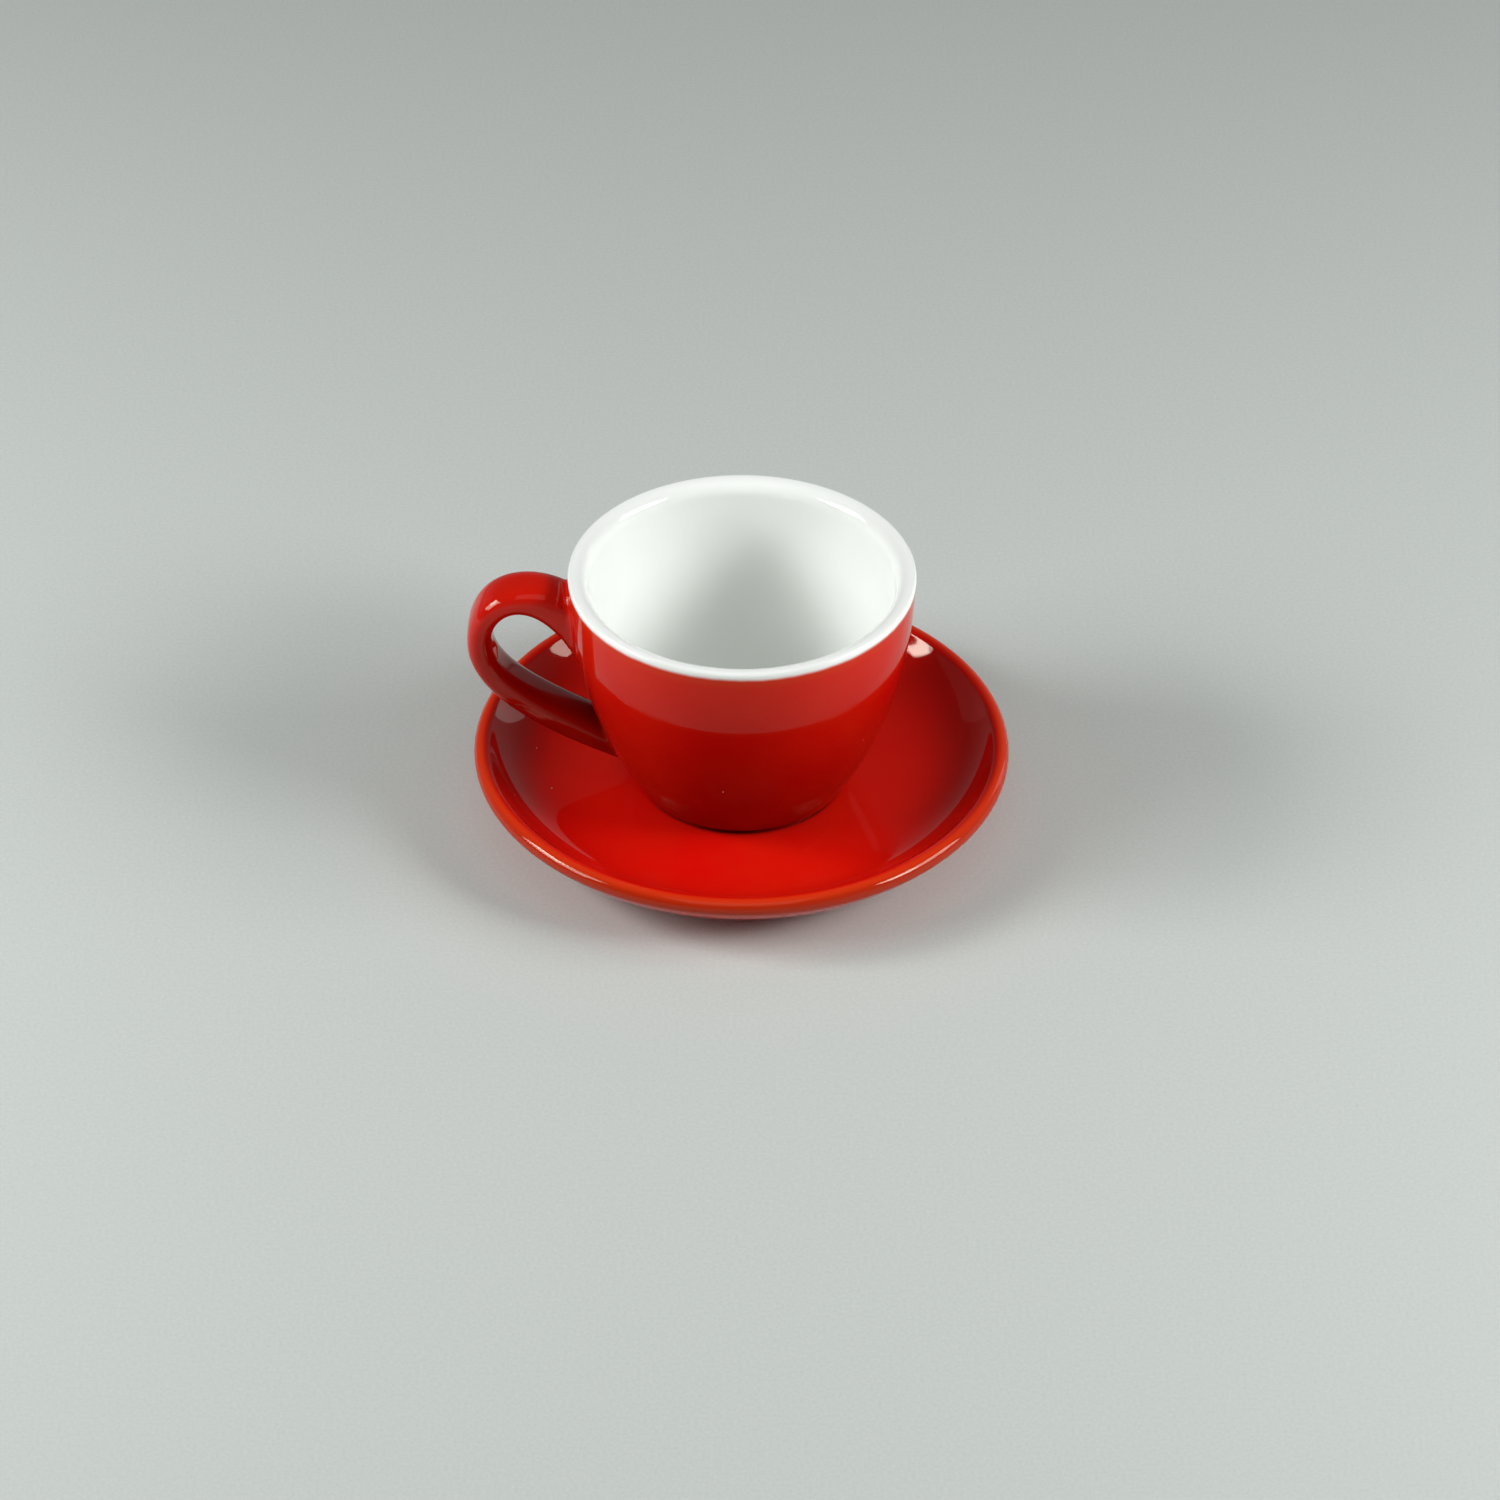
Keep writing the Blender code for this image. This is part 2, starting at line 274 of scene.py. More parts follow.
class HandleSettings(bpy.types.PropertyGroup):
    """Sizes of the strap handle"""

    width: length("Width", "Width of the strap", 0.0135)
    root_flare: length("Root Flare", "Extra width where the strap meets the wall", 0.0020)
    sink: length("Sink", "How far the strap runs on inside the wall", 0.0020)
    upper_fillet: length("Upper Fillet", "Reach of the smoothed joint at the upper root", 0.0024)
    lower_fillet: length("Lower Fillet", "Reach of the smoothed joint at the lower root", 0.0014)
    outer_roundness: FloatProperty(
        name="Outer Roundness", description="Two is an ellipse, more is squarer", default=2.6
    )
    inner_roundness: FloatProperty(
        name="Inner Roundness", description="Two is an ellipse, more is squarer", default=3.0
    )
    outer_root_drop: length("Outer Root Drop", "Drop of the outer edge's root below the lip", 0.0073)
    outer_root_pull: offset("Outer Root Pull", "Curve handle out from and below the lip", (0.00265, 0.0010))
    outer_far: offset("Outer Far Point", "Farthest point out from and below the lip", (0.02625, 0.0213))
    outer_far_pull: offset("Outer Far Pull", "Curve handles above and below it", (0.0231, 0.0119))
    outer_foot_pull: offset(
        "Outer Foot Pull", "Curve handle out from the lip, above the foot", (0.01255, 0.0173)
    )
    outer_foot_rise: length("Outer Foot Rise", "Height of the outer edge's lower root", 0.0067)
    inner_root_drop: length("Inner Root Drop", "Drop of the inner edge's root below the lip", 0.0344)
    inner_root_pull: offset("Inner Root Pull", "Curve handle out from and below the lip", (0.00835, -0.0009))
    inner_far: offset("Inner Far Point", "Farthest point out from and below the lip", (0.01965, 0.0195))
    inner_far_pull: offset("Inner Far Pull", "Curve handles above and below it", (0.0078, 0.0120))
    inner_foot_pull: offset(
        "Inner Foot Pull", "Curve handle out from the lip, above the foot", (0.00595, 0.0264)
    )
    inner_foot_rise: length("Inner Foot Rise", "Height of the inner edge's lower root", 0.0162)


class GlazeSettings(bpy.types.PropertyGroup):
    """Colours of the glazes and the clay"""

    red: colour("Red", "Red glaze of even thickness", "D20E06")
    # Painted shade: the red darkened low on the cup and its handle
    shaded_low_red: colour("Shaded Low Red", "Red glaze where it ran together low on the cup", "700201")
    # Partly thinner glaze, partly a painted reflection: the oranger red high on the cup
    upper_red_and_reflection: colour("Upper Red And Reflection", "Red glaze high on the cup, where it ran thin", "D01E0A")
    # Painted shade: the darker red down the outside of the saucer's rim
    shaded_edge_red: colour("Shaded Edge Red", "Red glaze down the outside of the saucer's rim", "A02A06")
    # Painted shade: the dark red in the corner of the seat, under the cup's base
    seat_shade_red: colour("Seat Shade Red", "Red glaze pooled in the corner of the saucer's seat", "900502")
    # Thin red, also the painted highlight on the crest of the saucer's rim
    thin_red_and_highlight: colour("Thin Red", "Red glaze where it runs thin over an edge", "CC300F")
    mirrored: colour("Mirrored", "Tint of what the red glaze mirrors", "FFEFDC")
    white: colour("White", "White glaze inside the cup", "F2F5F1")
    biscuit: colour("Biscuit", "Bare fired clay on the foot rings and in pinholes", "D9CFBF")
    blush: length("Blush", "Height over which the red thins out to white below the lip", 0.0013)


class StageSettings(bpy.types.PropertyGroup):
    """Colour of the table"""

    table: colour("Table", "Matt grey table top", "C1C7C3")


class CoffeeCupSettings(bpy.types.PropertyGroup):
    """All sizes and colours"""

    saucer: PointerProperty(name="Saucer", description="Sizes of the saucer", type=SaucerSettings)
    cup: PointerProperty(name="Cup", description="Sizes of the bowl and its red coat", type=CupSettings)
    handle: PointerProperty(name="Handle", description="Sizes of the strap handle", type=HandleSettings)
    glaze: PointerProperty(name="Glaze", description="Colours of the glazes and the clay", type=GlazeSettings)
    stage: PointerProperty(name="Stage", description="Colour of the table", type=StageSettings)


def rounded(corners):
    """The outline through corners of (radius, height, rounding), each rounded corner made an arc."""
    outline = []
    for index, (r, z, rounding) in enumerate(corners):
        corner = Vector((r, z))
        if not rounding:
            outline.append(corner)
            continue
        before = (Vector(corners[index - 1][:2]) - corner).normalized()
        after = (Vector(corners[(index + 1) % len(corners)][:2]) - corner).normalized()
        half = before.angle(after) / 2
        centre = corner + (before + after).normalized() * rounding / math.sin(half)
        start = corner + before * rounding / math.tan(half) - centre
        end = corner + after * rounding / math.tan(half) - centre
        for step in range(ARC_STEPS + 1):
            outline.append(centre + rounding * start.slerp(end, step / ARC_STEPS))
    return outline


def rising_curve(start, end, end_slope):
    """Points from a level start up to an end that has the given slope, without the two ends."""
    run = end.x - start.x
    rise = end.y - start.y
    power = math.tan(end_slope) * run / rise
    shares = [step / CURVE_STEPS for step in range(1, CURVE_STEPS)]
    return [Vector((start.x + run * share, start.y + rise * share**power)) for share in shares]


def new_piece(name, shape, material):
    """A smooth-shaded object from a bmesh, with its faces turned outwards."""
    bmesh.ops.recalc_face_normals(shape, faces=shape.faces)
    mesh = bpy.data.meshes.new(name)
    shape.to_mesh(mesh)
    shape.free()
    mesh.shade_smooth()
    mesh.materials.append(material)
    piece = bpy.data.objects.new(name, mesh)
    bpy.context.scene.collection.objects.link(piece)
    return piece


def turned(outline, closed=False):
    """A bmesh turned round Z from (radius, height) points. A point on the axis stays a single vertex."""
    shape = bmesh.new()
    rings = []
    for point in outline:
        if point.x < ON_AXIS:
            rings.append([shape.verts.new((0.0, 0.0, point.y))] * TURN_STEPS)
            continue
        ring = []
        for step in range(TURN_STEPS):
            angle = math.tau * step / TURN_STEPS
            ring.append(shape.verts.new((point.x * math.cos(angle), point.x * math.sin(angle), point.y)))
        rings.append(ring)
    pairs = list(zip(rings, rings[1:]))
    if closed:
        pairs.append((rings[-1], rings[0]))
    for first, second in pairs:
        for step in range(TURN_STEPS):
            following = (step + 1) % TURN_STEPS
            corners = (first[step], second[step], second[following], first[following])
            shape.faces.new(dict.fromkeys(corners))
    return shape


def seat_height(saucer):
    """Height of the cup's seat above the table."""
    return saucer.foot_height + saucer.base_thickness - saucer.seat_depth


def saucer_outline(saucer):
    """The saucer's section: from the seat over dish and rim, then back under it to the foot ring."""
    rim_centre = Vector((saucer.radius - saucer.rim_rounding, saucer.height - saucer.rim_rounding))
    rim = []
    for step in range(RIM_STEPS + 1):
        angle = math.pi / 2 + saucer.rim_slope - math.pi * step / RIM_STEPS
        rim.append(rim_centre + saucer.rim_rounding * Vector((math.cos(angle), math.sin(angle))))
    floor = saucer.foot_height + saucer.base_thickness
    seat = seat_height(saucer)
    seat_edge = rounded(
        [
            (0.0, seat, 0.0),
            (saucer.seat_radius, seat, SEAT_ROUNDING),
            (saucer.seat_radius + saucer.seat_depth, floor, SEAT_ROUNDING),
            (saucer.seat_radius + SEAT_LEDGE, floor, 0.0),
        ]
    )
    foot_inside = saucer.foot_radius - saucer.foot_width
    foot = rounded(
        [
            (saucer.foot_radius, saucer.foot_height, 0.0),
            (saucer.foot_radius, 0.0, SAUCER_FOOT_ROUNDING),
            (foot_inside, 0.0, SAUCER_FOOT_ROUNDING),
            (foot_inside, saucer.foot_height, SAUCER_HOLLOW_ROUNDING),
            (0.0, saucer.foot_height, 0.0),
        ]
    )
    dish = rising_curve(seat_edge[-1], rim[0], saucer.rim_slope)
    underside = rising_curve(foot[0], rim[-1], saucer.rim_slope)
    return seat_edge + dish + rim + underside[::-1] + foot


def wall_share(cup, height):
    """How far down the wall a height lies, from 0 at the lip to 1 at the base."""
    return (cup.height - height) / (cup.height - cup.foot_height)


def wall_radius(cup, height):
    """Radius of the cup's outside: nearly upright below the lip, then drawn in faster to the base."""
    share = wall_share(cup, height)
    belly = cup.lip_radius - cup.wall_lean - cup.base_radius
    return cup.lip_radius - cup.wall_lean * share - belly * share**cup.belly_power


def wall_slope(cup, height):
    """How fast the radius of the cup's outside grows with height."""
    share = wall_share(cup, height)
    belly = cup.lip_radius - cup.wall_lean - cup.base_radius
    per_share = cup.wall_lean + belly * cup.belly_power * share ** (cup.belly_power - 1)
    return per_share / (cup.height - cup.foot_height)


def wall_clearance(cup, point):
    """How far a point stands clear of the cup's outside, along the wall's normal."""
    from_axis = math.hypot(point.x, point.y)
    return (from_axis - wall_radius(cup, point.z)) / math.hypot(1.0, wall_slope(cup, point.z))


def on_wall(cup, point):
    """The point of the cup's outside at the height and bearing of a point."""
    scale = wall_radius(cup, point.z) / math.hypot(point.x, point.y)
    return Vector((point.x * scale, point.y * scale, point.z))


def wall_normal(cup, point):
    """The outward normal of the cup's outside at the height and bearing of a point."""
    fall = wall_slope(cup, point.z) * math.hypot(point.x, point.y)
    return Vector((point.x, point.y, -fall)).normalized()


def outside_outline(cup, foot_radius):
    """The cup's outside from the flat of the lip over its rounded edge, down to the base and its foot."""
    corners = [
        (cup.lip_radius - 2 * cup.lip_rounding, cup.height, 0.0),
        (cup.lip_radius, cup.height, cup.lip_rounding),
    ]
    top = cup.height - 2 * cup.lip_rounding
    low = cup.foot_height + cup.base_rounding
    for step in range(CURVE_STEPS + 1):
        height = top + (low - top) * step / CURVE_STEPS
        corners.append((wall_radius(cup, height), height, 0.0))
    corners.append((cup.base_radius, cup.foot_height, cup.base_rounding))
    corners.append((foot_radius, cup.foot_height, 0.0))
    return rounded(corners)[1:]


def inset(outline, depths):
    """An open outline with each point moved in along its normal by its own depth."""
    moved = []
    for index, (point, depth) in enumerate(zip(outline, depths)):
        along = outline[min(index + 1, len(outline) - 1)] - outline[max(index - 1, 0)]
        moved.append(point + Vector((along.y, -along.x)).normalized() * depth)
    return moved


def add_node(tree, kind, settings=None, links=None):
    """Add a node, set its properties and input values, and link its inputs from other nodes' outputs."""
    node = tree.nodes.new(kind)
    for key, value in (settings or {}).items():
        if isinstance(key, int) or key in node.inputs:
            node.inputs[key].default_value = value
        else:
            setattr(node, key, value)
    for key, socket in (links or {}).items():
        tree.links.new(socket, node.inputs[key])
    return node


def new_material(name):
    """A new material with its node tree and its shader."""
    material = bpy.data.materials.new(name)
    material.use_nodes = True
    tree = material.node_tree
    return material, tree, tree.nodes["Principled BSDF"]


def red_glaze(name, shade_height=0.0):
    """Red glaze over pale stoneware, fired to a glassy skin with soft, slightly wavy reflections.

    Its thickness varies a little from dipping, which mottles the red, and a few pinholes stay open. Given a
    shade height, painted shade makes it darker the lower it lies, and it turns oranger at that height, partly
    thinner glaze and partly a painted reflection.
    """
    glaze = bpy.context.scene.coffee_cup.glaze
    material, tree, shader = new_material(name)
    place = add_node(tree, "ShaderNodeTexCoord").outputs["Object"]
    dip = add_node(tree, "ShaderNodeTexNoise", {"Scale": 1 / DIP_PATCH, "Detail": 3.0}, {"Vector": place})
    thinness = add_node(
        tree,
        "ShaderNodeMapRange",
        {"From Min": MOTTLE_NOISE[0], "From Max": MOTTLE_NOISE[1], "To Max": MOTTLE},
        {"Value": dip.outputs["Fac"]},
    )
    mottled = add_node(
        tree,
        "ShaderNodeMix",
        {"data_type": "RGBA", MIX_A: (*glaze.red, 1.0), MIX_B: (*glaze.thin_red_and_highlight, 1.0)},
        {MIX_FACTOR: thinness.outputs["Result"]},
    )
    # Painted shade darkens the red towards the bottom; the top turns oranger, partly as a painted reflection
    if shade_height:
        height = add_node(tree, "ShaderNodeSeparateXYZ", {}, {"Vector": place})
        share = add_node(tree, "ShaderNodeMapRange", {"From Max": shade_height}, {"Value": height.outputs["Z"]})
        shading_ramp = add_node(tree, "ShaderNodeValToRGB", {}, {"Fac": share.outputs["Result"]})
        stops = shading_ramp.color_ramp.elements
        stops[0].color = (*glaze.shaded_low_red, 1.0)
        stops[1].color = (*glaze.upper_red_and_reflection, 1.0)
        middle_shaded_red = Vector(glaze.shaded_low_red).lerp(Vector(glaze.red), SHADE_MIDDLE)
        stops.new(SHADE_MIDDLE).color = (*middle_shaded_red, 1.0)
        tree.links.new(shading_ramp.outputs["Color"], mottled.inputs[MIX_A])
    pinholes = add_node(tree, "ShaderNodeTexVoronoi", {"Scale": 1 / PINHOLE_SPACING}, {"Vector": place})
    chosen = add_node(tree, "ShaderNodeSeparateColor", {}, {"Color": pinholes.outputs["Color"]})
    size = add_node(
        tree,
        "ShaderNodeMapRange",
        {"From Min": NO_PINHOLE, "To Max": LARGEST_PINHOLE},
        {"Value": chosen.outputs["Red"]},
    )
    open_pores = add_node(
        tree,
        "ShaderNodeMath",
        {"operation": "LESS_THAN"},
        {0: pinholes.outputs["Distance"], 1: size.outputs["Result"]},
    )
    specked = add_node(
        tree,
        "ShaderNodeMix",
        {"data_type": "RGBA", MIX_B: (*glaze.biscuit, 1.0)},
        {MIX_FACTOR: open_pores.outputs["Value"], MIX_A: mottled.outputs[MIX_COLOUR]},
    )
    ripple = add_node(tree, "ShaderNodeTexNoise", {"Scale": 1 / RIPPLE, "Detail": 1.0}, {"Vector": place})
    skin = add_node(
        tree,
        "ShaderNodeBump",
        {"Strength": 1.0, "Distance": RIPPLE_HEIGHT},
        {"Height": ripple.outputs["Fac"]},
    )
    polish_glaze(tree, shader, dip)
    tree.links.new(specked.outputs[MIX_COLOUR], shader.inputs["Base Color"])
    tree.links.new(skin.outputs["Normal"], shader.inputs["Normal"])
    shader.inputs["Specular Tint"].default_value = (*glaze.mirrored, 1.0)
    return material, tree, shader, place


def polish_glaze(tree, shader, noise):
    """Give a glaze its gloss, a little duller where the noise is high."""
    polish = add_node(
        tree,
        "ShaderNodeMapRange",
        {
            "From Min": POLISH_NOISE[0],
            "From Max": POLISH_NOISE[1],
            "To Min": GLAZE_POLISH[0],
            "To Max": GLAZE_POLISH[1],
        },
        {"Value": noise.outputs["Fac"]},
    )
    tree.links.new(polish.outputs["Result"], shader.inputs["Roughness"])
    shader.inputs["IOR"].default_value = GLAZE_IOR


def bare_foot(tree, shader, place, foot_top):
    """Wipe the glaze off a foot ring's face, so that bare, chalky clay shows where the piece stood."""
    glaze = bpy.context.scene.coffee_cup.glaze
    height = add_node(tree, "ShaderNodeSeparateXYZ", {}, {"Vector": place})
    wiped = add_node(
        tree,
        "ShaderNodeMapRange",
        {"From Min": foot_top, "From Max": foot_top / 2},
        {"Value": height.outputs["Z"]},
    )
    grit = add_node(tree, "ShaderNodeTexNoise", {"Scale": 1 / CLAY_GRIT, "Detail": 2.0}, {"Vector": place})
    dark_clay = [CLAY_SHADE * channel for channel in glaze.biscuit]
    clay = add_node(
        tree,
        "ShaderNodeMix",
        {"data_type": "RGBA", MIX_A: (*dark_clay, 1.0), MIX_B: (*glaze.biscuit, 1.0)},
        {MIX_FACTOR: grit.outputs["Fac"]},
    )
    surface = add_node(
        tree,
        "ShaderNodeMix",
        {"data_type": "RGBA"},
        {
            MIX_FACTOR: wiped.outputs["Result"],
            MIX_A: shader.inputs["Base Color"].links[0].from_socket,
            MIX_B: clay.outputs[MIX_COLOUR],
        },
    )
    dulled = add_node(
        tree,
        "ShaderNodeMix",
        {"data_type": "FLOAT", MIX_HIGH: CLAY_ROUGHNESS},
        {MIX_FACTOR: wiped.outputs["Result"], MIX_LOW: shader.inputs["Roughness"].links[0].from_socket},
    )
    tree.links.new(surface.outputs[MIX_COLOUR], shader.inputs["Base Color"])
    tree.links.new(dulled.outputs[MIX_VALUE], shader.inputs["Roughness"])


def saucer_glaze(saucer):
    """The saucer's red glaze over faint turning rings.

    It is drawn thin and orange over the crest of the rolled rim, partly a painted highlight, darker and
    browner down the rim's outside as painted shade, and dark in the corner of the seat as painted shade under
    the cup's base.
    """
    glaze = bpy.context.scene.coffee_cup.glaze
    material, tree, shader, place = red_glaze("glossy red glaze on a saucer")
    outwards = add_node(
        tree, "ShaderNodeVectorMath", {"operation": "MULTIPLY", 1: (1.0, 1.0, 0.0)}, {0: place}
    )
    radius = add_node(
        tree, "ShaderNodeVectorMath", {"operation": "LENGTH"}, {0: outwards.outputs["Vector"]}
    )
    height = add_node(tree, "ShaderNodeSeparateXYZ", {}, {"Vector": place})
    section = add_node(
        tree,
        "ShaderNodeCombineXYZ",
        {},
        {"X": radius.outputs["Value"], "Z": height.outputs["Z"]},
    )
    # Thin glaze with a painted highlight on the rim's crest
    crest = (saucer.radius - CREST_INSET * saucer.rim_rounding, 0.0, saucer.height)
    # Painted shade in the seat's corner, under the cup's base
    corner = (saucer.seat_radius - SEAT_SHADE_INSET, 0.0, seat_height(saucer))
    red = shader.inputs["Base Color"].links[0].from_socket
    for centre, full, end, local_red in (
        (crest, CREST_FULL, CREST_END, glaze.thin_red_and_highlight),
        (corner, SEAT_SHADE_FULL, SEAT_SHADE_END, glaze.seat_shade_red),
    ):
        distance = add_node(
            tree,
            "ShaderNodeVectorMath",
            {"operation": "DISTANCE", 1: centre},
            {0: section.outputs["Vector"]},
        )
        share = add_node(
            tree,
            "ShaderNodeMapRange",
            {"interpolation_type": "SMOOTHSTEP", "From Min": end, "From Max": full},
            {"Value": distance.outputs["Value"]},
        )
        shaded = add_node(
            tree,
            "ShaderNodeMix",
            {"data_type": "RGBA", MIX_B: (*local_red, 1.0)},
            {MIX_FACTOR: share.outputs["Result"], MIX_A: red},
        )
        red = shaded.outputs[MIX_COLOUR]
    # Painted shade: the rim's outside turns to the darker edge red
    outside = add_node(
        tree,
        "ShaderNodeMapRange",
        {
            "interpolation_type": "SMOOTHSTEP",
            "From Min": saucer.radius - EDGE_SHADE_START * saucer.rim_rounding,
            "From Max": saucer.radius,
            "To Max": EDGE_SHADE_SHARE,
        },
        {"Value": radius.outputs["Value"]},
    )
    edge_shaded = add_node(
        tree,
        "ShaderNodeMix",
        {"data_type": "RGBA", MIX_B: (*glaze.shaded_edge_red, 1.0)},
        {MIX_FACTOR: outside.outputs["Result"], MIX_A: red},
    )
    tree.links.new(edge_shaded.outputs[MIX_COLOUR], shader.inputs["Base Color"])
    rings = add_node(
        tree,
        "ShaderNodeTexNoise",
        {"noise_dimensions": "1D", "Scale": 1 / TURNING_RING, "Detail": 2.0},
        {"W": radius.outputs["Value"]},
    )
    skin = shader.inputs["Normal"].links[0].from_node
    ringed = add_node(
        tree,
        "ShaderNodeMath",
        {"operation": "MULTIPLY_ADD", 1: RING_SHARE},
        {0: rings.outputs["Fac"], 2: skin.inputs["Height"].links[0].from_socket},
    )
    tree.links.new(ringed.outputs["Value"], skin.inputs["Height"])
    bare_foot(tree, shader, place, SAUCER_FOOT_ROUNDING)
    return material


def coat_glaze(cup):
    """The cup's red glaze, which thins out to nothing in a soft blush just under the white lip."""
    glaze = bpy.context.scene.coffee_cup.glaze
    # The cup's red gets painted shade, darker towards its foot
    material, tree, shader, place = red_glaze("glossy red glaze on a cup", cup.height)
    height = add_node(tree, "ShaderNodeSeparateXYZ", {}, {"Vector": place})
    runs = add_node(tree, "ShaderNodeTexNoise", {"Scale": 1 / RUN, "Detail": 2.0}, {"Vector": place})
    uneven = add_node(
        tree,
        "ShaderNodeMath",
        {"operation": "MULTIPLY_ADD", 1: COAT_UNEVEN},
        {0: runs.outputs["Fac"], 2: height.outputs["Z"]},
    )
    line = cup.height - COAT_END
    fade = add_node(
        tree,
        "ShaderNodeMapRange",
        {"From Min": line - THIN_BLUSHES * glaze.blush, "From Max": line},
        {"Value": uneven.outputs["Value"]},
    )
    thinning = add_node(tree, "ShaderNodeValToRGB", {}, {"Fac": fade.outputs["Result"]})
    thinning.color_ramp.interpolation = "EASE"
    stops = thinning.color_ramp.elements
    stops[0].color = (0.0, 0.0, 0.0, 1.0)
    stops[1].position = THIN_PEAK
    stops[1].color = (THIN_FULL, THIN_FULL, THIN_FULL, 1.0)
    thin = add_node(
        tree,
        "ShaderNodeMix",
        {"data_type": "RGBA", MIX_B: (*glaze.thin_red_and_highlight, 1.0)},
        {MIX_FACTOR: thinning.outputs["Color"], MIX_A: shader.inputs["Base Color"].links[0].from_socket},
    )
    blush = add_node(
        tree,
        "ShaderNodeMapRange",
        {"interpolation_type": "SMOOTHSTEP", "From Min": BLUSH_START},
        {"Value": fade.outputs["Result"]},
    )
    faded = add_node(
        tree,
        "ShaderNodeMix",
        {"data_type": "RGBA", MIX_B: (*glaze.white, 1.0)},
        {MIX_FACTOR: blush.outputs["Result"], MIX_A: thin.outputs[MIX_COLOUR]},
    )
    tree.links.new(faded.outputs[MIX_COLOUR], shader.inputs["Base Color"])
    shader.inputs["IOR"].default_value = COAT_IOR
    return material


def white_glaze():
    """White glaze over stoneware: a glassy, faintly cool white with soft clouding and a bare foot ring."""
    glaze = bpy.context.scene.coffee_cup.glaze
    material, tree, shader = new_material("glossy white glaze on a cup")
    place = add_node(tree, "ShaderNodeTexCoord").outputs["Object"]
    cloud = add_node(tree, "ShaderNodeTexNoise", {"Scale": 1 / CLOUD, "Detail": 3.0}, {"Vector": place})
    dim_white = [CLOUD_SHADE * channel for channel in glaze.white]
    clouded = add_node(
        tree,
        "ShaderNodeMix",
        {"data_type": "RGBA", MIX_A: (*dim_white, 1.0), MIX_B: (*glaze.white, 1.0)},
        {MIX_FACTOR: cloud.outputs["Fac"]},
    )
    tree.links.new(clouded.outputs[MIX_COLOUR], shader.inputs["Base Color"])
    polish_glaze(tree, shader, cloud)
    bare_foot(tree, shader, place, CUP_FOOT_ROUNDING)
    return material


def table_top(stage):
    """Matt grey paint on a studio table: its fine grain scatters the light, so that it hardly shines."""
    material, tree, shader = new_material("matt grey studio table")
    place = add_node(tree, "ShaderNodeTexCoord").outputs["Object"]
    grain = add_node(tree, "ShaderNodeTexNoise", {"Scale": 1 / TABLE_GRAIN, "Detail": 2.0}, {"Vector": place})
    shade = add_node(
        tree,
        "ShaderNodeMapRange",
        {"To Min": TABLE_SHADES[0], "To Max": TABLE_SHADES[1]},
        {"Value": grain.outputs["Fac"]},
    )
    grained = add_node(
        tree,
        "ShaderNodeVectorMath",
        {"operation": "SCALE", 0: stage.table},
        {"Scale": shade.outputs["Result"]},
    )
    tree.links.new(grained.outputs["Vector"], shader.inputs["Base Color"])
    shader.inputs["Roughness"].default_value = TABLE_ROUGHNESS
    shader.inputs["Specular IOR Level"].default_value = TABLE_SPECULAR
    return material


class COFFEECUP_OT_saucer(bpy.types.Operator):
    """Turn the dished saucer with its rolled rim and foot ring"""

    bl_idname = "coffee_cup.saucer"
    bl_label = "Saucer"

    def execute(self, context):
        saucer = context.scene.coffee_cup.saucer
        piece = new_piece("glazed_saucer", turned(saucer_outline(saucer)), saucer_glaze(saucer))
        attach(piece, "saucer")
        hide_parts("saucer")
        return {"FINISHED"}


class COFFEECUP_OT_bowl(bpy.types.Operator):
    """Turn the white bowl of the cup with its flat lip and foot ring"""

    bl_idname = "coffee_cup.bowl"
    bl_label = "Bowl"

    def execute(self, context):
        cup = context.scene.coffee_cup.cup
        hollow = cup.foot_height + cup.foot_hollow
        floor = hollow + cup.floor_thickness
        corners = [(0.0, floor, 0.0)]
        corners.append((wall_radius(cup, floor) - cup.wall_thickness, floor, cup.inside_rounding))
        low = floor + cup.inside_rounding
        high = cup.height - cup.lip_inside_rounding - cup.lip_rounding
        for step in range(CURVE_STEPS + 1):
            height = low + (high - low) * step / CURVE_STEPS
            corners.append((wall_radius(cup, height) - cup.wall_thickness, height, 0.0))
        corners.append((cup.lip_radius - cup.wall_thickness, cup.height, cup.lip_inside_rounding))
        corners.append((cup.lip_radius - cup.lip_rounding, cup.height, 0.0))
        inside = rounded(corners)[:-1]
        outside = outside_outline(cup, cup.foot_radius)
        depths = [BOWL_INSET * min(1.0, index / ARC_STEPS) for index in range(len(outside))]
        foot_inside = cup.foot_radius - cup.foot_width
        foot = rounded(
            [
                (cup.foot_radius, cup.foot_height, 0.0),
                (cup.foot_radius, 0.0, CUP_FOOT_ROUNDING),
                (foot_inside, 0.0, CUP_FOOT_ROUNDING),
                (foot_inside, hollow, CUP_HOLLOW_ROUNDING),
                (0.0, hollow, 0.0),
            ]
        )
        outline = inside + inset(outside, depths)[:-1] + foot
        piece = new_piece("white_bowl", turned(outline), white_glaze())
        piece.location.z = cup.rest_height
        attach(piece, "cup")
        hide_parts("cup_body")
        return {"FINISHED"}


class COFFEECUP_OT_coat(bpy.types.Operator):
    """Turn the coat of red glaze on the outside of the cup"""

    bl_idname = "coffee_cup.coat"
    bl_label = "Red Coat"

    def execute(self, context):
        cup = context.scene.coffee_cup.cup
        outside = outside_outline(cup, cup.foot_radius + COAT_STOP)[1:]
        depths = [COAT_DIVE * max(0.0, 1.0 - index / ARC_STEPS) for index in range(len(outside))]
        outside = inset(outside, depths)
        inside = inset(outside, [COAT_THICKNESS] * len(outside))
        outline = outside + inside[::-1]
        piece = new_piece("red_coat", turned(outline, closed=True), coat_glaze(cup))
        piece.location.z = cup.rest_height
        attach(piece, "cup")
        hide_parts("cup_red_glaze")
        return {"FINISHED"}


